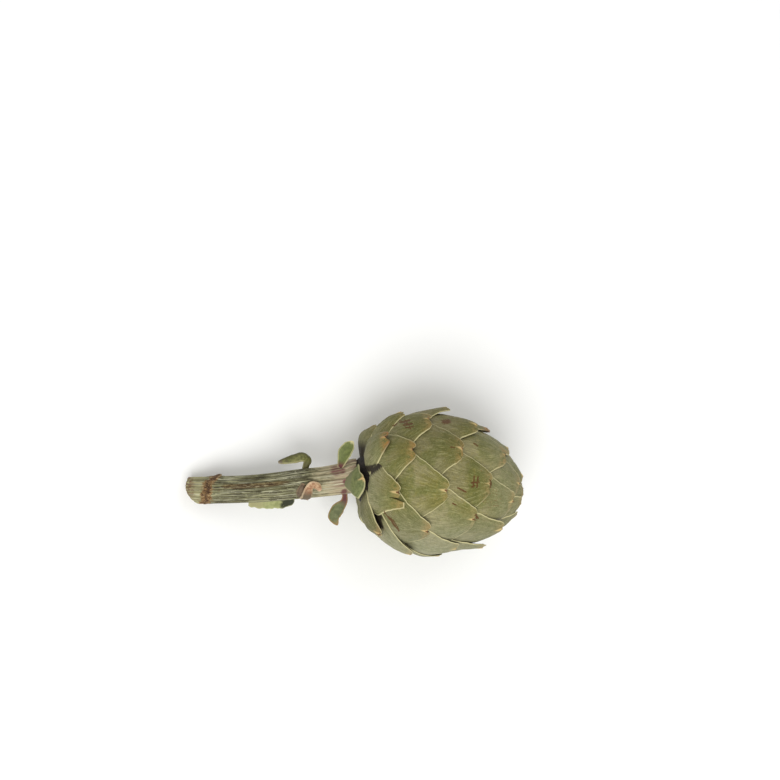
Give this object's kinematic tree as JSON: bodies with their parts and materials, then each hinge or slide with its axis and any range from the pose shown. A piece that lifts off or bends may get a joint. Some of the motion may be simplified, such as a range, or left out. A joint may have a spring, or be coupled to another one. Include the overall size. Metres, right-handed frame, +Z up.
{
  "type": "artichoke",
  "caption": "Globe artichoke with its cut stem, lying on its side: a head of overlapping bracts, resting on a flat spot and on the stem's end.",
  "frame": {"origin": "middle of the part's outline seen from above, on the surface that it lies on", "axes": "+Z up; +X from the stem's cut end to the head's tip"},
  "size_m": [0.1976, 0.0894, 0.0864],
  "materials": {
    "head_bracts": "matt green plant skin",
    "stem": "matt, ribbed plant skin"
  },
  "bodies": {
    "root": {"head": "head_bracts", "stem": "stem"}
  },
  "joints": []
}
